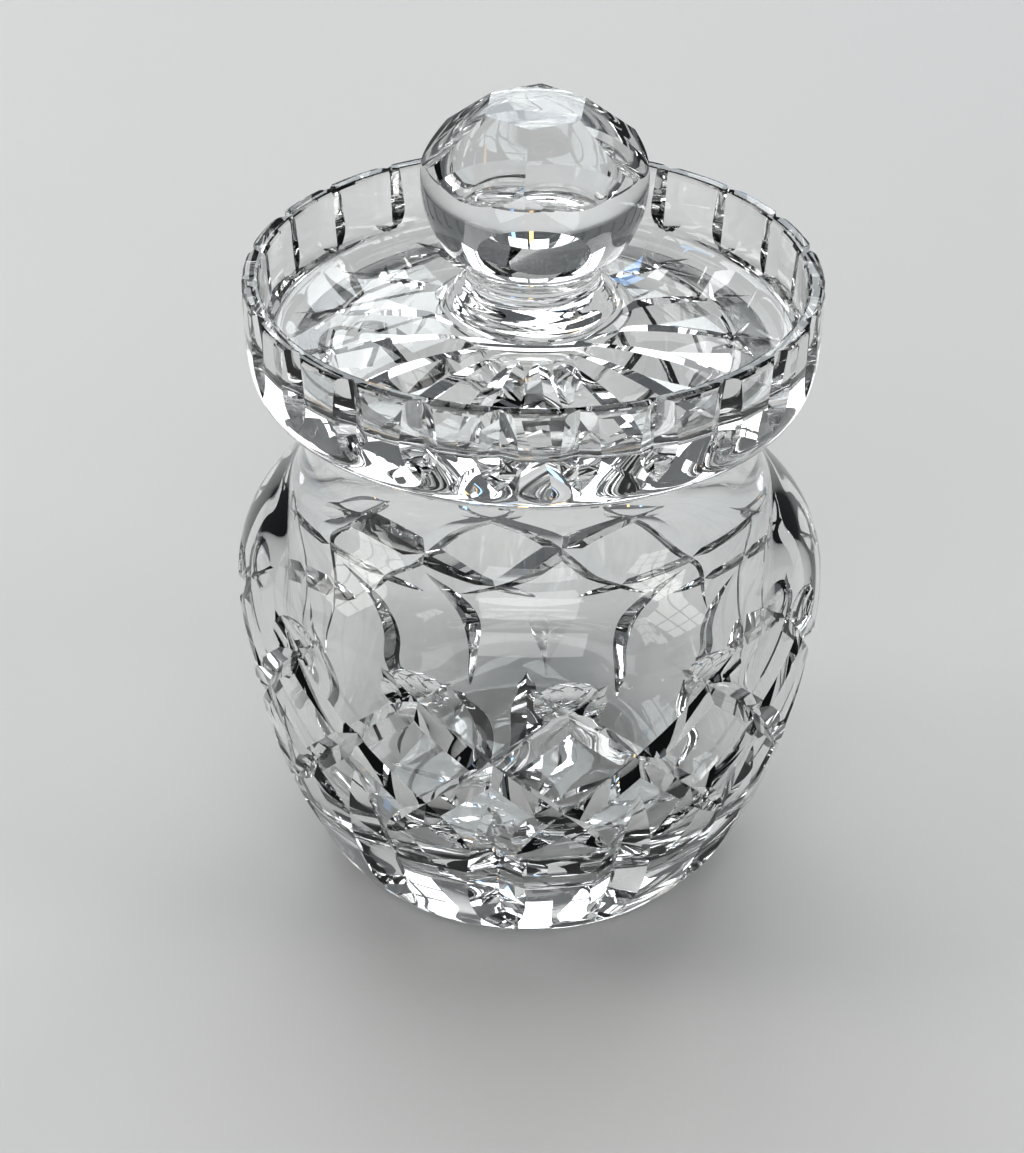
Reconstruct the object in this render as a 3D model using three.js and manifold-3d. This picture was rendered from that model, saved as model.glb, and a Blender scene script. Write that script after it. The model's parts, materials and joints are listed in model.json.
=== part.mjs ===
// Powder jar in cut lead crystal: a round-shouldered jar with a short neck, and a lid that lifts off.
// Millimetres, +Z up. The origin is the centre of the foot; the front of the cut pattern faces -Y.
import * as THREE from 'three';
import { mergeVertices } from 'three/addons/utils/BufferGeometryUtils.js';
import Module from 'manifold-3d';

const wasm = await Module();
wasm.setup();

// ---- Driving dimensions --------------------------------------------------------------------------

// Jar
const FOOT_RADIUS = 27.8;
const BODY_RADIUS = 46.9;
const BODY_WIDEST_Z = 54.0;
const NECK_RADIUS = 36.2;
const MOUTH_RADIUS = 31.0;
const LIP_RADIUS = 37.4;
const JAR_HEIGHT = 85.1;
const BASE_THICKNESS = 11.0;

// Lid
const SEAT_GAP = 0.3;
const SEAT_Z = JAR_HEIGHT + SEAT_GAP;
const PLUG_RADIUS = 30.4;
const PLUG_DEPTH = 1.6;
const UNDERSIDE_RISE = 1.6;
const RIM_RADIUS = 45.5;
const RIM_THICKNESS = 2.8;
const RIM_TOP_Z = 104.6;
const DISH_EDGE_RADIUS = 38.0;
const DISH_EDGE_Z = 94.8;
const NECK_RING_RADIUS = 13.3;
const KNOB_NECK_RADIUS = 10.4;
const KNOB_RADIUS = 17.7;
const KNOB_Z = 121.3;
const KNOB_TABLE_Z = 133.4;
const KNOB_TABLE_APOTHEM = 7.3;
const KNOB_FACET_TILT = 43.5;

// Cutting
const REPEATS = 12;
const NODE_AZIMUTH = 8;
const UPPER_NODE_Z = 52.1;
const MITRE_TOP_Z = 58;
const MITRE_END_Z = 23.2;
const MITRE_TWIST = 1.42;
const MITRE_DEPTH = 1.9;
const MITRE_HALF_ANGLE = 50;
const OLIVE = { z: 53.6, halfLength: 6.8, halfHeight: 4.1, depth: 1.5 };
const WEDGE = { top: 35.6, bottom: 1.6, depth: 0.35, halfAngle: 62 };
const FOOT_STAR = { depth: 2.2, endDepth: 1.2, halfAngle: 60 };
const FLUTES = { count: 23, azimuth: 9.4, topDepth: 1.4, depth: 2.0, halfAngle: 59, lowerEnd: 90.6 };
const LID_STAR = { rays: 16, azimuth: 6.0, depth: 2.3, halfAngle: 58, reach: 41.0 };

const TURN_SEGMENTS = 36;
const DEGREE = Math.PI / 180;

// ---- Solids --------------------------------------------------------------------------------------

function solidFrom(geometry) {
  const bare = geometry.clone();
  bare.deleteAttribute('normal');
  bare.deleteAttribute('uv');
  const welded = mergeVertices(bare, 1e-5);
  return new wasm.Manifold(new wasm.Mesh({
    numProp: 3,
    vertProperties: new Float32Array(welded.attributes.position.array),
    triVerts: new Uint32Array(welded.index.array),
  }));
}

function geometryFrom(solid) {
  const mesh = solid.getMesh();
  const geometry = new THREE.BufferGeometry();
  geometry.setAttribute('position', new THREE.BufferAttribute(new Float32Array(mesh.vertProperties), 3));
  geometry.setIndex(new THREE.BufferAttribute(new Uint32Array(mesh.triVerts), 1));
  geometry.computeVertexNormals();
  return geometry;
}

// A turned blank: the [radius, height] outline starts and ends on the axis.
function turned(outline, segments = TURN_SEGMENTS) {
  const points = outline.map(([radius, height]) => new THREE.Vector2(radius, height));
  return solidFrom(new THREE.LatheGeometry(points, segments).rotateX(Math.PI / 2));
}

function curveThrough(points, count) {
  const curve = new THREE.SplineCurve(points.map(([radius, height]) => new THREE.Vector2(radius, height)));
  return curve.getSpacedPoints(count).map((point) => [point.x, point.y]);
}

// Azimuth is measured from the front (-Y) towards +X.
function atAzimuth(azimuth, radius, z) {
  return new THREE.Vector3(radius * Math.sin(azimuth), -radius * Math.cos(azimuth), z);
}

// The line that the edge of a mitre wheel follows: at(t) gives its point and the way out of the glass.
class WheelPath extends THREE.Curve {
  constructor(at) {
    super();
    this.at = at;
  }

  getPoint(t, target = new THREE.Vector3()) {
    return target.copy(this.at(t).point);
  }

  getPointAt(t, target) {
    return this.getPoint(t, target);
  }

  computeFrenetFrames(segments) {
    const frames = { tangents: [], normals: [], binormals: [] };
    for (let i = 0; i <= segments; i += 1) {
      const t = i / segments;
      const ahead = this.getPoint(Math.min(1, t + 0.01));
      const tangent = ahead.sub(this.getPoint(Math.max(0, t - 0.01))).normalize();
      const binormal = new THREE.Vector3().crossVectors(tangent, this.at(t).outward).normalize();
      frames.tangents.push(tangent);
      frames.normals.push(new THREE.Vector3().crossVectors(binormal, tangent));
      frames.binormals.push(binormal);
    }
    return frames;
  }
}

// A V-shaped groove with its edge along the path, opening outwards.
function mitre(at, halfAngle, steps, height = 7) {
  const half = height * Math.tan(halfAngle * DEGREE);
  const section = new THREE.Shape([
    new THREE.Vector2(0, 0),
    new THREE.Vector2(height, half),
    new THREE.Vector2(height, -half),
  ]);
  return solidFrom(new THREE.ExtrudeGeometry(section, { steps, extrudePath: new WheelPath(at) }));
}

function around(count, firstAzimuth, makeCutter) {
  return Array.from({ length: count }, (_, i) => makeCutter((firstAzimuth + (360 / count) * i) * DEGREE, i));
}

function cutAll(blank, cutters) {
  return cutters.reduce((solid, cutter) => solid.subtract(cutter), blank);
}

// ---- Jar -----------------------------------------------------------------------------------------

const bodyOutline = curveThrough([
  [FOOT_RADIUS + 0.8, 0.4],
  [31.6, 3.4],
  [38.9, 15.9],
  [43.6, 30.0],
  [46.0, 42.0],
  [BODY_RADIUS, BODY_WIDEST_Z],
  [45.2, 60.4],
  [41.4, 65.6],
  [37.9, 69.6],
  [NECK_RADIUS, 75.4],
  [36.6, 80.6],
  [LIP_RADIUS, JAR_HEIGHT - 1.6],
], 13);

const cavityOutline = curveThrough([
  [MOUTH_RADIUS, JAR_HEIGHT - 1.6],
  [30.9, 76.0],
  [32.8, 70.0],
  [37.6, 63.6],
  [41.2, 55.0],
  [40.6, 44.0],
  [37.6, 28.0],
  [31.4, 16.4],
  [24.0, BASE_THICKNESS + 1.6],
  [12.0, BASE_THICKNESS + 0.3],
], 8);

function bodyAt(z) {
  const upper = bodyOutline.findIndex(([, height]) => height > z);
  const i = Math.min(Math.max(upper, 1), bodyOutline.length - 1);
  const [r0, z0] = bodyOutline[i - 1];
  const [r1, z1] = bodyOutline[i];
  const slope = (r1 - r0) / (z1 - z0);
  return { radius: r0 + slope * (z - z0), slope };
}

function bodyPoint(azimuth, z, depth) {
  const { radius, slope } = bodyAt(z);
  const outward = atAzimuth(azimuth, 1, -slope).normalize();
  const point = atAzimuth(azimuth, radius, z).addScaledVector(outward, -depth);
  return { point, outward };
}

// Two families of mitres wind down the body and cross in a lattice of diamonds.
function latticeMitre(azimuth, hand) {
  return mitre((t) => {
    const z = MITRE_TOP_Z + (MITRE_END_Z - MITRE_TOP_Z) * t;
    const turn = (UPPER_NODE_Z - z) * MITRE_TWIST * DEGREE;
    const depth = MITRE_DEPTH - (MITRE_DEPTH + 0.7) * Math.abs(2 * t - 1) ** 7;
    return bodyPoint(azimuth + hand * turn, z, depth);
  }, MITRE_HALF_ANGLE, 8);
}

// A short olive lies across each upper crossing.
function olive(azimuth) {
  const { radius, slope } = bodyAt(OLIVE.z);
  const wheelRadius = 10;
  const sink = wheelRadius - OLIVE.depth;
  const cap = Math.sqrt(wheelRadius ** 2 - sink ** 2);
  const lens = new THREE.SphereGeometry(wheelRadius, 16, 10);
  lens.scale(1, OLIVE.halfLength / cap, OLIVE.halfHeight / cap);
  lens.translate(radius + sink, 0, 0);
  lens.rotateY(Math.atan(slope) * 0.5);
  lens.rotateZ(azimuth - Math.PI / 2);
  lens.translate(0, 0, OLIVE.z);
  return solidFrom(lens);
}

// Upright wedges run from under the lattice to the foot; each is a straight cut through the swelling body.
function wedge(azimuth) {
  const top = bodyPoint(azimuth, WEDGE.top, 0).point;
  const bottom = bodyPoint(azimuth, WEDGE.bottom, WEDGE.depth).point;
  const along = bottom.clone().sub(top);
  const outward = new THREE.Vector3(0, 0, 1).cross(atAzimuth(azimuth, 1, 0)).cross(along).normalize();
  if (outward.dot(atAzimuth(azimuth, 1, 0)) < 0) outward.negate();
  const start = top.clone().addScaledVector(along, -0.06);
  return mitre((t) => ({ point: start.clone().addScaledVector(along, 1.3 * t), outward }),
    WEDGE.halfAngle, 2);
}

// The star under the foot: its rays run out through the edge of the foot.
function footRay(azimuth) {
  const inner = 2.5;
  const reach = FOOT_RADIUS + 3.5;
  const down = new THREE.Vector3(0, 0, -1);
  return mitre((t) => {
    const radius = inner + (reach - inner) * t;
    const swell = t < 0.8 ? Math.sin(Math.PI * Math.min(1, t * 1.25)) ** 0.8 : 0;
    const depth = (FOOT_STAR.depth - FOOT_STAR.endDepth * t) * swell + FOOT_STAR.endDepth * t;
    return { point: atAzimuth(azimuth, radius, depth), outward: down };
  }, FOOT_STAR.halfAngle, 5, 4);
}

const jarBlank = turned([
  [0, 0.6],
  [15, 0.6],
  [21, 0],
  [FOOT_RADIUS, 0],
  ...bodyOutline,
  [LIP_RADIUS - 0.5, JAR_HEIGHT - 0.5],
  [LIP_RADIUS - 1.1, JAR_HEIGHT],
  [MOUTH_RADIUS + 0.5, JAR_HEIGHT],
  [MOUTH_RADIUS, JAR_HEIGHT - 0.5],
  ...cavityOutline,
  [0, BASE_THICKNESS],
]);

const halfStep = 180 / REPEATS;
const jarSolid = cutAll(jarBlank, [
  ...around(REPEATS, NODE_AZIMUTH, (azimuth) => latticeMitre(azimuth, 1)),
  ...around(REPEATS, NODE_AZIMUTH, (azimuth) => latticeMitre(azimuth, -1)),
  ...around(REPEATS, NODE_AZIMUTH, olive),
  ...around(REPEATS, NODE_AZIMUTH + halfStep, wedge),
  ...around(REPEATS, NODE_AZIMUTH - halfStep / 2, footRay),
]);

// ---- Lid -----------------------------------------------------------------------------------------

const flankOutline = [
  [LIP_RADIUS + 1.2, SEAT_Z],
  [41.6, SEAT_Z + 0.9],
  [43.6, SEAT_Z + 2.8],
  [44.7, SEAT_Z + 6.2],
  [45.2, SEAT_Z + 11.0],
  [RIM_RADIUS, RIM_TOP_Z - 0.9],
];

const dishOutline = [
  [RIM_RADIUS - 0.4, RIM_TOP_Z - 0.25],
  [RIM_RADIUS - 1.2, RIM_TOP_Z],
  [RIM_RADIUS - RIM_THICKNESS + 0.6, RIM_TOP_Z - 0.2],
  [RIM_RADIUS - RIM_THICKNESS, RIM_TOP_Z - 0.8],
  [42.3, 98.8],
  [42.0, 96.8],
  [41.2, 95.4],
  [39.8, 94.8],
  [DISH_EDGE_RADIUS, DISH_EDGE_Z],
  [30.0, 96.3],
  [20.0, 98.4],
];

const knobNeckOutline = curveThrough([
  [14.2, 99.6],
  [NECK_RING_RADIUS, 100.6],
  [12.6, 102.2],
  [11.0, 104.2],
  [KNOB_NECK_RADIUS, 106.4],
  [11.0, 108.2],
  [13.4, 110.4],
], 7);

// The knob is round below and slightly flatter above its widest ring.
function knobOutline() {
  const points = [];
  for (let latitude = -36; latitude <= 80; latitude += 9) {
    const flatten = latitude > 0 ? 0.97 : 1;
    points.push([
      KNOB_RADIUS * Math.cos(latitude * DEGREE),
      KNOB_Z + KNOB_RADIUS * flatten * Math.sin(latitude * DEGREE),
    ]);
  }
  return points;
}

// A flat facet: everything beyond the plane at this tilt and distance from the axis is ground away.
function facet(azimuth, tilt, radius, z) {
  const block = new THREE.BoxGeometry(60, 60, 20).translate(0, 0, 10);
  block.rotateX(tilt * DEGREE);
  block.translate(0, -radius, z);
  block.rotateZ(azimuth);
  return solidFrom(block);
}

function flankAt(z) {
  const upper = flankOutline.findIndex(([, height]) => height > z);
  const i = upper < 1 ? flankOutline.length - 1 : upper;
  const [r0, z0] = flankOutline[i - 1];
  const [r1, z1] = flankOutline[i];
  return r0 + ((r1 - r0) / (z1 - z0)) * (z - z0);
}

// Upright flutes around the rim wall, open at the top and running out above the seat.
function flute(azimuth) {
  const outward = atAzimuth(azimuth, 1, 0);
  const top = RIM_TOP_Z + 1;
  return mitre((t) => {
    const z = top + (FLUTES.lowerEnd - 1 - top) * t;
    const below = Math.max(0, t - 0.55) / 0.45;
    const deepening = (FLUTES.depth - FLUTES.topDepth) * Math.min(1, t / 0.5);
    const depth = FLUTES.topDepth + deepening - (FLUTES.depth + 0.9) * below ** 2.2;
    return { point: atAzimuth(azimuth, flankAt(z) - depth, z), outward };
  }, FLUTES.halfAngle, 5, 5);
}

function underside(radius) {
  if (radius > PLUG_RADIUS) return SEAT_Z;
  return SEAT_Z - PLUG_DEPTH + UNDERSIDE_RISE * (1 - (radius / PLUG_RADIUS) ** 2);
}

// The star under the lid: long pointed rays from the middle, across the plug and the seat, to the flank.
function lidRay(azimuth) {
  const inner = 6;
  const outer = LID_STAR.reach;
  return mitre((t) => {
    const radius = inner + (outer - inner) * t;
    const depth = (LID_STAR.depth + 0.6) * Math.sin(Math.PI * t ** 0.8) ** 0.75 - 0.6;
    return {
      point: atAzimuth(azimuth, radius, underside(radius) + depth),
      outward: new THREE.Vector3(0, 0, -1),
    };
  }, LID_STAR.halfAngle, 5, 5);
}

const undersideOutline = [0, 12, 22].map((radius) => [radius, underside(radius)]);

const lidBlank = turned([
  ...undersideOutline,
  [PLUG_RADIUS - 0.5, underside(PLUG_RADIUS - 0.5)],
  [PLUG_RADIUS, SEAT_Z - PLUG_DEPTH + 0.6],
  [PLUG_RADIUS, SEAT_Z],
  ...flankOutline,
  ...dishOutline,
  ...knobNeckOutline,
  ...knobOutline(),
  [0, KNOB_Z + KNOB_RADIUS * 0.97],
]);

const lidSolid = cutAll(lidBlank, [
  ...around(FLUTES.count, FLUTES.azimuth, flute),
  ...around(LID_STAR.rays, LID_STAR.azimuth, lidRay),
  ...around(6, 24.4, (azimuth) => facet(azimuth, KNOB_FACET_TILT, KNOB_TABLE_APOTHEM, KNOB_TABLE_Z)),
  facet(0, 0, 0, KNOB_TABLE_Z),
]);

// ---- Assembly ------------------------------------------------------------------------------------

const crystal = () => new THREE.MeshStandardMaterial({
  color: 0xe9eeec,
  roughness: 0.03,
  metalness: 0,
  transparent: true,
  opacity: 0.4,
  flatShading: true,
});

function piece(name, solid) {
  const mesh = new THREE.Mesh(geometryFrom(solid), crystal());
  mesh.name = name;
  return mesh;
}

const powderJar = new THREE.Group();
powderJar.add(piece('jar', jarSolid), piece('lid', lidSolid));

export default powderJar;
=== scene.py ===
import json
import math

import bmesh
import bpy
import numpy as np
from mathutils import Matrix, Vector

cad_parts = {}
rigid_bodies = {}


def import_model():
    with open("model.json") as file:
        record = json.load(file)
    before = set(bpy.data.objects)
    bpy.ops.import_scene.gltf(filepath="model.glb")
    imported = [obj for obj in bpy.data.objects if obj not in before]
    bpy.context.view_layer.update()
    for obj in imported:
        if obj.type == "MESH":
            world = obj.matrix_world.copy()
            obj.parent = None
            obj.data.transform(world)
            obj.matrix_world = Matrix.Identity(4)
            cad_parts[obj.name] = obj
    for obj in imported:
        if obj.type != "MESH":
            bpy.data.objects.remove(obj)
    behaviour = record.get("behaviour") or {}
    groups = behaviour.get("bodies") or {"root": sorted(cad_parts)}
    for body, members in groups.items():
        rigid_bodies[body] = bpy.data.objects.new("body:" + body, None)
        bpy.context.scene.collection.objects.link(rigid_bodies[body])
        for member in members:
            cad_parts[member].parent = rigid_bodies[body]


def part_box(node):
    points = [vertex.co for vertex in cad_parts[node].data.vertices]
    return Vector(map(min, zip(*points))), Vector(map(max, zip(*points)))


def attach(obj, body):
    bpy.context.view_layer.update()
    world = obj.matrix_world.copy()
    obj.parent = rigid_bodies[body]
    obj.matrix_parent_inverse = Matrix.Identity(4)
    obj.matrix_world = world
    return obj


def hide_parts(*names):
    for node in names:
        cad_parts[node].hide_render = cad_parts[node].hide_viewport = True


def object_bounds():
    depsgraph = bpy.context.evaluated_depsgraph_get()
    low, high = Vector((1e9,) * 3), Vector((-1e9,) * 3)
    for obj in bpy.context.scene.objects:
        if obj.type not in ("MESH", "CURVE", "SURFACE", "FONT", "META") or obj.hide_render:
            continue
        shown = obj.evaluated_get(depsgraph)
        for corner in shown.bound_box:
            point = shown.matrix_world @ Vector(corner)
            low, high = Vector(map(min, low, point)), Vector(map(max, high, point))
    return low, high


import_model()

CAD_BOX = [list(corner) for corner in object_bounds()]
JAR_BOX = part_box("jar")
LID_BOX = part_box("lid")
MM = 0.001

# ---- Dimensions, in millimetres --------------------------------------------------------------------

FOOT_RADIUS = 27.8
BODY_RADIUS = (JAR_BOX[1][0] - JAR_BOX[0][0]) / 2 / MM
JAR_HEIGHT = JAR_BOX[1][2] / MM
NECK_RADIUS = 36.2
MOUTH_RADIUS = 31.0
LIP_RADIUS = 37.4
BASE_THICKNESS = 11.0

SEAT_Z = JAR_HEIGHT + 0.3
PLUG_RADIUS = 30.4
PLUG_BOTTOM_Z = LID_BOX[0][2] / MM
UNDERSIDE_RISE = 1.6
RIM_RADIUS = (LID_BOX[1][0] - LID_BOX[0][0]) / 2 / MM
RIM_THICKNESS = 2.8
RIM_TOP_Z = 104.6
DISH_EDGE_RADIUS = 38.0
DISH_EDGE_Z = 94.8
NECK_RING_RADIUS = 13.3
KNOB_NECK_RADIUS = 10.4
KNOB_RADIUS = 17.7
KNOB_Z = 121.3
KNOB_TABLE_Z = LID_BOX[1][2] / MM
KNOB_TABLE_APOTHEM = 7.3
KNOB_FACETS = 6
KNOB_FACET_AZIMUTH = 24.4
KNOB_FACET_TILT = 43.5
KNOB_UPPER_FLATTENING = 0.97

REPEATS = 12
NODE_AZIMUTH = 8.0
UPPER_NODE_Z = 52.1
MITRE_TOP_Z = 58.0
MITRE_END_Z = 23.2
MITRE_TWIST = 1.42
MITRE_DEPTH = 1.9
MITRE_HALF_ANGLE = 50
OLIVE_Z = 53.6
OLIVE_HALF_LENGTH = 6.8
OLIVE_HALF_HEIGHT = 4.1
OLIVE_DEPTH = 1.5
WEDGE_TOP_Z = 35.6
WEDGE_BOTTOM_Z = 1.6
WEDGE_DEPTH = 0.35
WEDGE_HALF_ANGLE = 62
FOOT_RAY_DEPTH = 2.2
FOOT_RAY_END_DEPTH = 1.2
FOOT_RAY_HALF_ANGLE = 60
FLUTES = 23
FLUTE_AZIMUTH = 9.4
FLUTE_TOP_DEPTH = 1.4
FLUTE_DEPTH = 2.0
FLUTE_HALF_ANGLE = 59
FLUTE_END_Z = 90.6
LID_RAYS = 16
LID_RAY_AZIMUTH = 6.0
LID_RAY_DEPTH = 2.3
LID_RAY_HALF_ANGLE = 58
LID_RAY_REACH = 41.0

TURN_SEGMENTS = 288

# ---- Finish and light ------------------------------------------------------------------------------

SATIN_ROUGHNESS = 0.22
SCUFF_ROUGHNESS = 0.16
SCRATCH_ROUGHNESS = 0.07
GROUND_DEPTH = 0.12 * MM
FLOOR_HALF_SIZE = 1.5
WORLD_STRENGTH = 0.13
CAMERA_ELEVATION = 27.2
CAMERA_DISTANCE = 0.758
CAMERA_TILT = -3.56
CAMERA_YAW = 0.24
CAMERA_ROLL = 0.65
CAMERA_LENS = 151.7
MIDDLE = (0, 0, 0.06)


# ---- Mesh making -----------------------------------------------------------------------------------

def new_object(name, mesh):
    obj = bpy.data.objects.new(name, mesh)
    bpy.context.scene.collection.objects.link(obj)
    return obj


def smooth_curve(points, step):
    """Points about one step apart along a natural cubic spline through the given ones."""
    knots = np.array(points, float)
    gaps = np.linalg.norm(np.diff(knots, axis=0), axis=1)
    along = np.concatenate([[0], np.cumsum(gaps)])
    slopes = np.diff(knots, axis=0) / gaps[:, None]
    system = np.eye(len(knots))
    right = np.zeros_like(knots)
    for i in range(1, len(knots) - 1):
        system[i, i - 1:i + 2] = gaps[i - 1], 2 * (gaps[i - 1] + gaps[i]), gaps[i]
        right[i] = 6 * (slopes[i] - slopes[i - 1])
    bend = np.linalg.solve(system, right)
    curve = []
    for t in np.linspace(0, along[-1], round(along[-1] / step) + 1):
        i = min(np.searchsorted(along, t, side="right"), len(gaps)) - 1
        a, b, gap = along[i + 1] - t, t - along[i], gaps[i]
        point = (bend[i] * a ** 3 + bend[i + 1] * b ** 3) / (6 * gap)
        point += (knots[i] / gap - bend[i] * gap / 6) * a + (knots[i + 1] / gap - bend[i + 1] * gap / 6) * b
        curve.append((float(point[0]), float(point[1])))
    return curve


def at_azimuth(azimuth, radius, z):
    """Azimuth is measured from the front (-Y) towards +X."""
    return Vector((radius * math.sin(azimuth), -radius * math.cos(azimuth), z))


def turned(name, outline):
    """A lathe blank; the (radius, height) outline starts and ends on the axis and runs anticlockwise."""
    bm = bmesh.new()
    rings = []
    for radius, z in outline:
        if radius < 1e-6:
            rings.append([bm.verts.new((0, 0, z))])
        else:
            rings.append([bm.verts.new(at_azimuth(2 * math.pi * k / TURN_SEGMENTS, radius, z))
                          for k in range(TURN_SEGMENTS)])
    for low, high in zip(rings[:-1], rings[1:]):
        for k in range(TURN_SEGMENTS):
            n = (k + 1) % TURN_SEGMENTS
            if len(low) == 1:
                bm.faces.new((low[0], high[n], high[k]))
            elif len(high) == 1:
                bm.faces.new((low[k], low[n], high[0]))
            else:
                bm.faces.new((low[k], low[n], high[n], high[k]))
    mesh = bpy.data.meshes.new(name)
    bm.to_mesh(mesh)
    bm.free()
    return new_object(name, mesh)


def add_mitre(bm, at, half_angle, steps, height=4.0):
    """Adds a V-shaped cutter with its edge along at(t), opening along the outward way that at gives."""
    half = height * math.tan(math.radians(half_angle))
    rings = []
    for i in range(steps + 1):
        t = i / steps
        point, outward = at(t)
        tangent = (at(min(1, t + 0.01))[0] - at(max(0, t - 0.01))[0]).normalized()
        side = tangent.cross(outward).normalized()
        up = side.cross(tangent)
        rings.append([bm.verts.new(point),
                      bm.verts.new(point + up * height + side * half),
                      bm.verts.new(point + up * height - side * half)])
    bm.faces.new(rings[0][::-1])
    bm.faces.new(rings[-1])
    for a, b in zip(rings[:-1], rings[1:]):
        for k in range(3):
            n = (k + 1) % 3
            bm.faces.new((a[k], a[n], b[n], b[k]))


def cut(blank, adders):
    """Takes every cutter away from the blank in one Boolean, and removes the cutters."""
    wheels = bpy.data.collections.new("wheels")
    bpy.context.scene.collection.children.link(wheels)
    for add in adders:
        bm = bmesh.new()
        add(bm)
        bmesh.ops.recalc_face_normals(bm, faces=bm.faces)
        mesh = bpy.data.meshes.new("wheel")
        bm.to_mesh(mesh)
        bm.free()
        wheels.objects.link(bpy.data.objects.new("wheel", mesh))
    modifier = blank.modifiers.new("cut", "BOOLEAN")
    modifier.operation = "DIFFERENCE"
    modifier.solver = "MANIFOLD"
    modifier.operand_type = "COLLECTION"
    modifier.collection = wheels
    graph = bpy.context.evaluated_depsgraph_get()
    mesh = bpy.data.meshes.new_from_object(blank.evaluated_get(graph))
    blank.modifiers.clear()
    blank.data = mesh
    for wheel in list(wheels.objects):
        bpy.data.objects.remove(wheel)
    bpy.data.collections.remove(wheels)


def azimuths(count, first):
    return [math.radians(first + 360 / count * k) for k in range(count)]


# ---- Jar -------------------------------------------------------------------------------------------

def scaled_to_radius(outline, widest):
    factor = widest / max(radius for radius, z in outline)
    return [(radius * factor, z) for radius, z in outline]


BODY_OUTLINE = scaled_to_radius(smooth_curve([
    (FOOT_RADIUS + 0.8, 0.4),
    (31.6, 3.4),
    (38.9, 15.9),
    (43.6, 30.0),
    (46.0, 42.0),
    (BODY_RADIUS, 54.0),
    (45.2, 60.4),
    (41.4, 65.6),
    (37.9, 69.6),
    (NECK_RADIUS, 75.4),
    (36.6, 80.6),
    (LIP_RADIUS, JAR_HEIGHT - 1.6),
], 0.7), BODY_RADIUS)

CAVITY_OUTLINE = smooth_curve([
    (MOUTH_RADIUS, JAR_HEIGHT - 1.6),
    (30.9, 76.0),
    (32.8, 70.0),
    (37.6, 63.6),
    (41.2, 55.0),
    (40.6, 44.0),
    (37.6, 28.0),
    (31.4, 16.4),
    (24.0, BASE_THICKNESS + 1.6),
    (12.0, BASE_THICKNESS + 0.3),
    (0.0, BASE_THICKNESS),
], 0.8)


def body_at(z):
    for (r0, z0), (r1, z1) in zip(BODY_OUTLINE[:-1], BODY_OUTLINE[1:]):
        if z <= z1:
            break
    slope = (r1 - r0) / (z1 - z0)
    return r0 + slope * (z - z0), slope


def body_point(azimuth, z, depth):
    radius, slope = body_at(z)
    outward = at_azimuth(azimuth, 1, -slope).normalized()
    return at_azimuth(azimuth, radius, z) - outward * depth, outward


def lattice_mitre(azimuth, hand):
    def at(t):
        z = MITRE_TOP_Z + (MITRE_END_Z - MITRE_TOP_Z) * t
        turn = math.radians((UPPER_NODE_Z - z) * MITRE_TWIST)
        depth = MITRE_DEPTH - (MITRE_DEPTH + 0.7) * abs(2 * t - 1) ** 7
        return body_point(azimuth + hand * turn, z, depth)
    return lambda bm: add_mitre(bm, at, MITRE_HALF_ANGLE, 60)


def olive(azimuth):
    radius, slope = body_at(OLIVE_Z)
    wheel = 10.0
    sink = wheel - OLIVE_DEPTH
    cap = math.sqrt(wheel ** 2 - sink ** 2)
    place = (Matrix.Translation((0, 0, OLIVE_Z))
             @ Matrix.Rotation(azimuth - math.pi / 2, 4, "Z")
             @ Matrix.Rotation(math.atan(slope) * 0.5, 4, "Y")
             @ Matrix.Translation((radius + sink, 0, 0))
             @ Matrix.Diagonal((wheel, OLIVE_HALF_LENGTH / cap * wheel, OLIVE_HALF_HEIGHT / cap * wheel, 1)))
    return lambda bm: bmesh.ops.create_uvsphere(bm, u_segments=96, v_segments=64, radius=1, matrix=place)


def wedge(azimuth):
    top = body_point(azimuth, WEDGE_TOP_Z, 0)[0]
    along = body_point(azimuth, WEDGE_BOTTOM_Z, WEDGE_DEPTH)[0] - top
    outward = at_azimuth(azimuth, 1, 0).cross(Vector((0, 0, 1))).cross(along).normalized()
    if outward.dot(at_azimuth(azimuth, 1, 0)) < 0:
        outward.negate()
    start = top - along * 0.06

    def at(t):
        return start + along * 1.3 * t, outward
    return lambda bm: add_mitre(bm, at, WEDGE_HALF_ANGLE, 2)


def foot_ray(azimuth):
    inner = 2.5
    reach = FOOT_RADIUS + 3.5

    def at(t):
        radius = inner + (reach - inner) * t
        swell = math.sin(math.pi * min(1, t * 1.25)) ** 0.8 if t < 0.8 else 0
        depth = (FOOT_RAY_DEPTH - FOOT_RAY_END_DEPTH * t) * swell + FOOT_RAY_END_DEPTH * t
        return at_azimuth(azimuth, radius, depth), Vector((0, 0, -1))
    return lambda bm: add_mitre(bm, at, FOOT_RAY_HALF_ANGLE, 32, 4.0)


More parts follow.
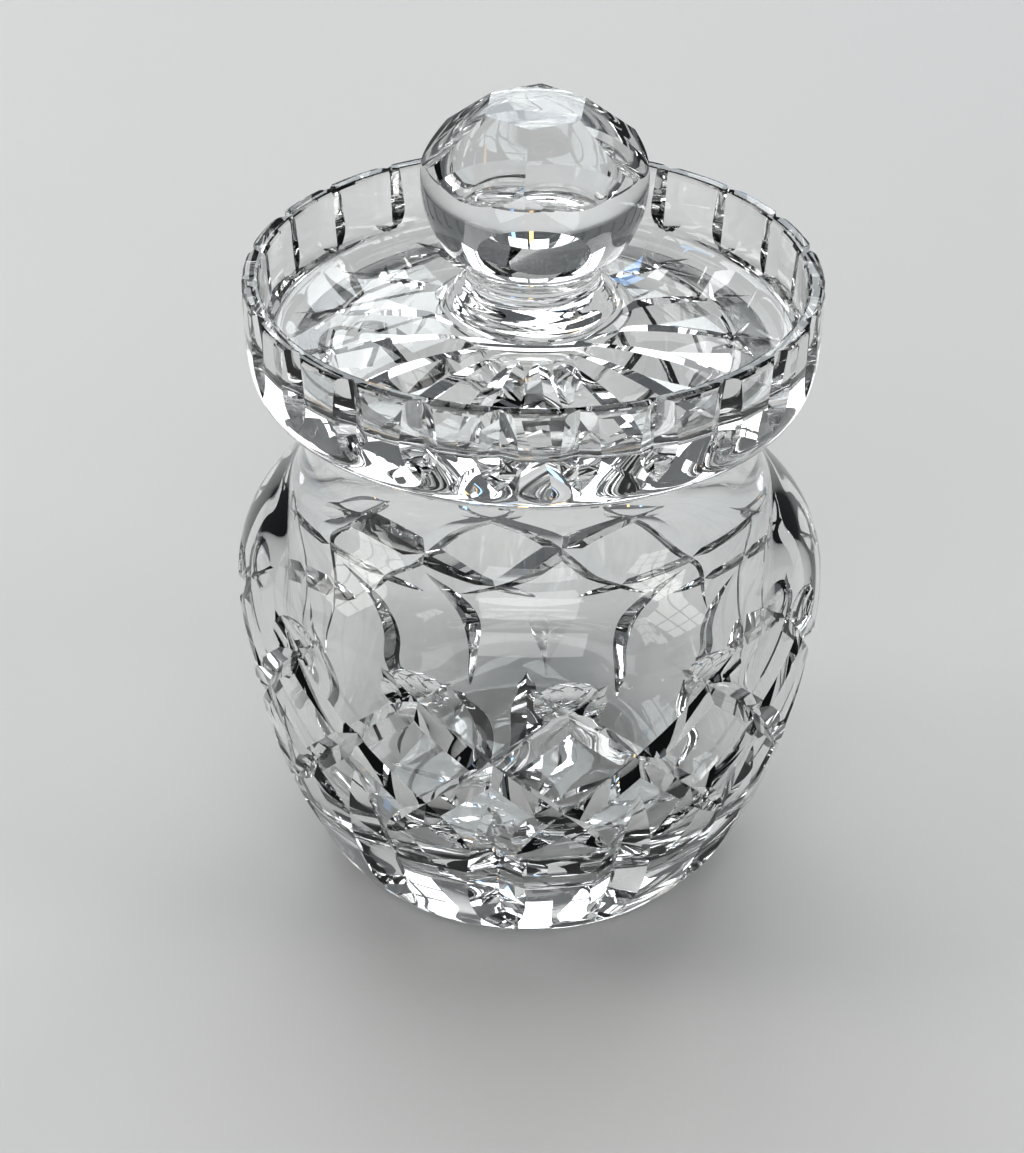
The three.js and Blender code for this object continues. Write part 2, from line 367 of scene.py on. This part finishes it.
def make_jar():
    jar = turned("crystal_jar", [
        (0, 0.6), (8, 0.6), (15, 0.6), (21, 0), (FOOT_RADIUS, 0), (FOOT_RADIUS + 0.45, 0.12),
        *BODY_OUTLINE,
        (LIP_RADIUS - 0.15, JAR_HEIGHT - 0.9), (LIP_RADIUS - 0.5, JAR_HEIGHT - 0.35),
        (LIP_RADIUS - 1.1, JAR_HEIGHT), (MOUTH_RADIUS + 0.5, JAR_HEIGHT),
        (MOUTH_RADIUS + 0.14, JAR_HEIGHT - 0.14), (MOUTH_RADIUS, JAR_HEIGHT - 0.5),
        *CAVITY_OUTLINE,
    ])
    half_step = 180 / REPEATS
    nodes = azimuths(REPEATS, NODE_AZIMUTH)
    cut(jar, [
        *[lattice_mitre(a, 1) for a in nodes],
        *[lattice_mitre(a, -1) for a in nodes],
        *[olive(a) for a in nodes],
        *[wedge(a) for a in azimuths(REPEATS, NODE_AZIMUTH + half_step)],
        *[foot_ray(a) for a in azimuths(REPEATS, NODE_AZIMUTH - half_step / 2)],
    ])
    return jar


# ---- Lid -------------------------------------------------------------------------------------------

FLANK_OUTLINE = smooth_curve([
    (LIP_RADIUS + 1.2, SEAT_Z),
    (41.6, SEAT_Z + 0.9),
    (43.6, SEAT_Z + 2.8),
    (44.7, SEAT_Z + 6.2),
    (45.2, SEAT_Z + 11.0),
    (RIM_RADIUS, RIM_TOP_Z - 0.9),
], 0.6)

DISH_OUTLINE = smooth_curve([
    (RIM_RADIUS - RIM_THICKNESS, RIM_TOP_Z - 0.8),
    (42.3, 98.8),
    (42.0, 96.8),
    (41.2, 95.4),
    (39.8, 94.8),
    (DISH_EDGE_RADIUS, DISH_EDGE_Z),
    (30.0, 96.3),
    (20.0, 98.4),
    (15.4, 99.2),
], 0.6)

NECK_OUTLINE = smooth_curve([
    (14.2, 99.6),
    (NECK_RING_RADIUS, 100.6),
    (12.6, 102.2),
    (11.0, 104.2),
    (KNOB_NECK_RADIUS, 106.4),
    (11.0, 108.2),
    (13.4, 110.4),
], 0.4)


def knob_outline():
    points = []
    for step in range(60):
        latitude = math.radians(-34 + 2 * step)
        flatten = KNOB_UPPER_FLATTENING if latitude > 0 else 1
        if latitude < math.radians(84):
            points.append((KNOB_RADIUS * math.cos(latitude),
                           KNOB_Z + KNOB_RADIUS * flatten * math.sin(latitude)))
    return points


def facet(azimuth, tilt, radius, z):
    """A block that grinds away everything beyond a plane tilted from level."""
    place = (Matrix.Rotation(azimuth, 4, "Z") @ Matrix.Translation((0, -radius, z))
             @ Matrix.Rotation(math.radians(tilt), 4, "X") @ Matrix.Translation((0, 0, 10))
             @ Matrix.Diagonal((60, 60, 20, 1)))
    return lambda bm: bmesh.ops.create_cube(bm, size=1, matrix=place)


def flank_radius(z):
    for (r0, z0), (r1, z1) in zip(FLANK_OUTLINE[:-1], FLANK_OUTLINE[1:]):
        if z <= z1:
            break
    return r0 + (r1 - r0) / (z1 - z0) * (z - z0)


def flute(azimuth):
    top = RIM_TOP_Z + 1

    def at(t):
        z = top + (FLUTE_END_Z - 1 - top) * t
        below = max(0, t - 0.55) / 0.45
        deepening = (FLUTE_DEPTH - FLUTE_TOP_DEPTH) * min(1, t / 0.5)
        depth = FLUTE_TOP_DEPTH + deepening - (FLUTE_DEPTH + 0.9) * below ** 2.2
        return at_azimuth(azimuth, flank_radius(z) - depth, z), at_azimuth(azimuth, 1, 0)
    return lambda bm: add_mitre(bm, at, FLUTE_HALF_ANGLE, 40)


def underside(radius):
    if radius > PLUG_RADIUS:
        return SEAT_Z
    return PLUG_BOTTOM_Z + UNDERSIDE_RISE * (1 - (radius / PLUG_RADIUS) ** 2)


def lid_ray(azimuth):
    inner = 6

    def at(t):
        radius = inner + (LID_RAY_REACH - inner) * t
        depth = (LID_RAY_DEPTH + 0.6) * math.sin(math.pi * t ** 0.8) ** 0.75 - 0.6
        return at_azimuth(azimuth, radius, underside(radius) + depth), Vector((0, 0, -1))
    return lambda bm: add_mitre(bm, at, LID_RAY_HALF_ANGLE, 40, 5.0)


def make_lid():
    lid = turned("crystal_lid", [
        *[(r, underside(r)) for r in range(30)],
        (PLUG_RADIUS - 0.5, underside(PLUG_RADIUS - 0.5)),
        (PLUG_RADIUS, PLUG_BOTTOM_Z + 0.6),
        (PLUG_RADIUS, SEAT_Z),
        *FLANK_OUTLINE,
        (RIM_RADIUS - 0.08, RIM_TOP_Z - 0.5), (RIM_RADIUS - 0.25, RIM_TOP_Z - 0.2),
        (RIM_RADIUS - 0.5, RIM_TOP_Z - 0.05), (RIM_RADIUS - 0.8, RIM_TOP_Z),
        (RIM_RADIUS - 2.1, RIM_TOP_Z), (RIM_RADIUS - 2.4, RIM_TOP_Z - 0.08),
        (RIM_RADIUS - 2.65, RIM_TOP_Z - 0.32),
        *DISH_OUTLINE,
        *NECK_OUTLINE,
        *knob_outline(),
        (0, KNOB_Z + KNOB_RADIUS * KNOB_UPPER_FLATTENING),
    ])
    cut(lid, [
        *[flute(a) for a in azimuths(FLUTES, FLUTE_AZIMUTH)],
        *[lid_ray(a) for a in azimuths(LID_RAYS, LID_RAY_AZIMUTH)],
        *[facet(a, KNOB_FACET_TILT, KNOB_TABLE_APOTHEM, KNOB_TABLE_Z)
          for a in azimuths(KNOB_FACETS, KNOB_FACET_AZIMUTH)],
        facet(0, 0, 0, KNOB_TABLE_Z),
    ])
    return lid


def polish(obj, sharp_angle=12):
    """Turns the mesh to metres, smooths it and keeps the cut edges crisp."""
    bm = bmesh.new()
    bm.from_mesh(obj.data)
    bmesh.ops.remove_doubles(bm, verts=bm.verts, dist=0.0005)
    bmesh.ops.transform(bm, matrix=Matrix.Scale(MM, 4), verts=bm.verts)
    limit = math.radians(sharp_angle)
    for face in bm.faces:
        face.smooth = True
    for edge in bm.edges:
        edge.smooth = edge.is_manifold and edge.calc_face_angle(0) < limit
    bm.to_mesh(obj.data)
    bm.free()


# ---- Materials -------------------------------------------------------------------------------------

def new_material(name):
    """A material and its Principled shader."""
    material = bpy.data.materials.new(name)
    material.use_nodes = True
    return material, material.node_tree.nodes["Principled BSDF"]


def add_node(material, kind, inputs, operation=None):
    """Adds a node; each of its inputs is given a plain value or another node's output."""
    tree = material.node_tree
    node = tree.nodes.new(kind)
    if operation:
        node.operation = operation
    for key, value in inputs.items():
        if isinstance(value, bpy.types.NodeSocket):
            tree.links.new(value, node.inputs[key])
        else:
            node.inputs[key].default_value = value
    return node


def calculate(material, operation, first, second=0.0):
    return add_node(material, "ShaderNodeMath", {0: first, 1: second}, operation).outputs[0]


def noise(material, scale, detail, stretch=(1, 1, 1)):
    """Noise fixed to the object, finer with scale, and stretched along slanted axes."""
    place = add_node(material, "ShaderNodeTexCoord", {}).outputs["Object"]
    mapping = add_node(material, "ShaderNodeMapping",
                       {"Vector": place, "Scale": stretch, "Rotation": (0.3, 0.5, 0.2)})
    texture = add_node(material, "ShaderNodeTexNoise",
                       {"Vector": mapping.outputs["Vector"], "Scale": scale, "Detail": detail})
    return texture.outputs["Fac"]


def crystal_material(name, seat_z, seat_inner_radius):
    """Polished lead crystal: faint waves, hair scratches, a satin ground seat and a scuffed foot."""
    material, glass = new_material(name)
    glass.inputs["Base Color"].default_value = (0.985, 0.992, 0.99, 1)
    glass.inputs["Transmission Weight"].default_value = 1.0
    glass.inputs["IOR"].default_value = 1.545

    place = add_node(material, "ShaderNodeTexCoord", {}).outputs["Object"]
    x, y, height = add_node(material, "ShaderNodeSeparateXYZ", {"Vector": place}).outputs
    x_square = calculate(material, "MULTIPLY", x, x)
    y_square = calculate(material, "MULTIPLY", y, y)
    radius_square = calculate(material, "ADD", x_square, y_square)
    outside_mouth = calculate(material, "GREATER_THAN", radius_square, seat_inner_radius ** 2)
    from_seat = calculate(material, "ABSOLUTE", calculate(material, "SUBTRACT", height, seat_z))
    at_seat = calculate(material, "LESS_THAN", from_seat, GROUND_DEPTH)
    satin = calculate(material, "MULTIPLY", at_seat, outside_mouth)

    on_foot = calculate(material, "LESS_THAN", height, GROUND_DEPTH)
    scuffs = calculate(material, "MULTIPLY", on_foot,
                       calculate(material, "GREATER_THAN", noise(material, 700, 3), 0.52))
    scratches = calculate(material, "GREATER_THAN", noise(material, 60, 2, (60, 2, 2)), 0.71)

    roughness = calculate(material, "MULTIPLY", satin, SATIN_ROUGHNESS)
    for marks, amount in ((scuffs, SCUFF_ROUGHNESS), (scratches, SCRATCH_ROUGHNESS)):
        roughness = calculate(material, "ADD", roughness, calculate(material, "MULTIPLY", marks, amount))
    waves = add_node(material, "ShaderNodeBump",
                     {"Height": noise(material, 90, 1.5), "Strength": 0.02, "Distance": 0.0003})
    material.node_tree.links.new(roughness, glass.inputs["Roughness"])
    material.node_tree.links.new(waves.outputs["Normal"], glass.inputs["Normal"])
    return material


def floor_material():
    """Matt pale paint, with a roughness that varies a little."""
    material, paint = new_material("pale_floor")
    paint.inputs["Base Color"].default_value = (0.66, 0.66, 0.65, 1)
    patches = calculate(material, "MULTIPLY", noise(material, 20, 3), 0.1)
    roughness = calculate(material, "ADD", patches, 0.45)
    material.node_tree.links.new(roughness, paint.inputs["Roughness"])
    return material


# ---- The object ------------------------------------------------------------------------------------

jar_crystal = crystal_material("jar_crystal", JAR_HEIGHT * MM, MOUTH_RADIUS * MM)
lid_crystal = crystal_material("lid_crystal", SEAT_Z * MM, PLUG_RADIUS * MM)
for make, body, crystal in ((make_jar, "jar", jar_crystal), (make_lid, "lid", lid_crystal)):
    piece = make()
    polish(piece)
    piece.data.materials.clear()
    piece.data.materials.append(crystal)
    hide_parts(body)
    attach(piece, body)

# ---- Stage -----------------------------------------------------------------------------------------


def card(name, size, location, aim, colour, power):
    """A soft rectangular studio light."""
    light = bpy.data.lights.new(name, "AREA")
    light.shape = "RECTANGLE"
    light.size, light.size_y = size
    light.color = colour
    light.energy = power
    obj = new_object(name, light)
    obj.location = location
    obj.rotation_euler = (Vector(aim) - Vector(location)).to_track_quat("-Z", "Y").to_euler()
    return obj


def glow_material(name, colour, strength):
    material, paint = new_material(name)
    tree = material.node_tree
    tree.nodes.remove(paint)
    glow = add_node(material, "ShaderNodeEmission", {"Color": (*colour, 1), "Strength": strength})
    tree.links.new(glow.outputs["Emission"], tree.nodes["Material Output"].inputs["Surface"])
    return material


def panes(name, across, up, pane, gap, location, aim, colour, strength):
    """A light made of a grid of separate panes, which the glass sees and the camera does not."""
    corners = []
    quads = []
    for i in range(across):
        for j in range(up):
            x = (i - across / 2) * (pane[0] + gap)
            y = (j - up / 2) * (pane[1] + gap)
            first = len(corners)
            corners += [(x, y, 0), (x + pane[0], y, 0), (x + pane[0], y + pane[1], 0), (x, y + pane[1], 0)]
            quads.append((first, first + 3, first + 2, first + 1))
    mesh = bpy.data.meshes.new(name)
    mesh.from_pydata(corners, [], quads)
    mesh.materials.append(glow_material(name, colour, strength))
    obj = new_object(name, mesh)
    obj.location = location
    obj.rotation_euler = (Vector(aim) - Vector(location)).to_track_quat("-Z", "Y").to_euler()
    obj.visible_camera = False
    return obj


def make_floor():
    mesh = bpy.data.meshes.new("floor")
    size = FLOOR_HALF_SIZE
    corners = [(-size, -size, 0), (size, -size, 0), (size, size, 0), (-size, size, 0)]
    mesh.from_pydata(corners, [], [(0, 1, 2, 3)])
    floor = new_object("floor", mesh)
    floor.location.z = CAD_BOX[0][2] - 0.0002
    mesh.materials.append(floor_material())


def make_world():
    world = bpy.data.worlds.new("studio")
    world.use_nodes = True
    bpy.context.scene.world = world
    sky = world.node_tree.nodes["Background"]
    sky.inputs["Color"].default_value = (0.80, 0.85, 0.90, 1)
    sky.inputs["Strength"].default_value = WORLD_STRENGTH


def make_camera():
    """The camera looks down on the rim of the lid at 27 degrees from three quarters of a metre away."""
    elevation = math.radians(CAMERA_ELEVATION)
    rim = Vector((0, 0, RIM_TOP_Z * MM))
    data = bpy.data.cameras.new("camera")
    data.lens = CAMERA_LENS
    data.sensor_width = 36
    data.clip_start = 0.01
    camera = new_object("camera", data)
    camera.location = rim + CAMERA_DISTANCE * Vector((0, -math.cos(elevation), math.sin(elevation)))
    turns = ((CAMERA_YAW, "Z"), (90 - CAMERA_ELEVATION + CAMERA_TILT, "X"), (CAMERA_ROLL, "Z"))
    yaw, pitch, roll = (Matrix.Rotation(math.radians(angle), 4, axis) for angle, axis in turns)
    camera.rotation_euler = (yaw @ pitch @ roll).to_euler()
    bpy.context.scene.camera = camera


make_floor()
make_world()
make_camera()
panes("window_back_left", 3, 3, (0.15, 0.19), 0.02, (-0.42, 1.0, 0.62), MIDDLE, (0.93, 0.97, 1.0), 3.6)
panes("window_back_right", 2, 3, (0.15, 0.19), 0.02, (0.48, 0.98, 0.60), MIDDLE, (0.97, 0.98, 1.0), 3.2)
panes("window_back", 2, 2, (0.15, 0.15), 0.02, (0.03, 1.05, 0.62), MIDDLE, (0.90, 0.96, 1.0), 3.4)
panes("window_left", 3, 3, (0.13, 0.17), 0.015, (-0.95, -0.05, 0.75), MIDDLE, (1.0, 0.99, 0.96), 4)
panes("window_right", 3, 3, (0.10, 0.13), 0.015, (0.9, -0.35, 0.75), MIDDLE, (1.0, 0.99, 0.96), 4)
panes("warm_edge", 1, 1, (0.03, 0.4), 0.0, (0.02, 1.15, 0.35), MIDDLE, (1.0, 0.62, 0.25), 3)
panes("cool_edge", 1, 1, (0.03, 0.4), 0.0, (0.16, 1.15, 0.35), MIDDLE, (0.30, 0.55, 1.0), 3)
card("overhead", (1.6, 1.0), (0.0, 0.35, 1.5), MIDDLE, (1.0, 1.0, 1.0), 10)
card("front", (1.2, 0.6), (0.0, -1.3, 1.2), (0, -0.1, 0), (1.0, 1.0, 1.0), 7)

bpy.context.scene.cycles.max_bounces = 24
bpy.context.scene.cycles.transmission_bounces = 24
bpy.context.scene.view_settings.view_transform = "Standard"
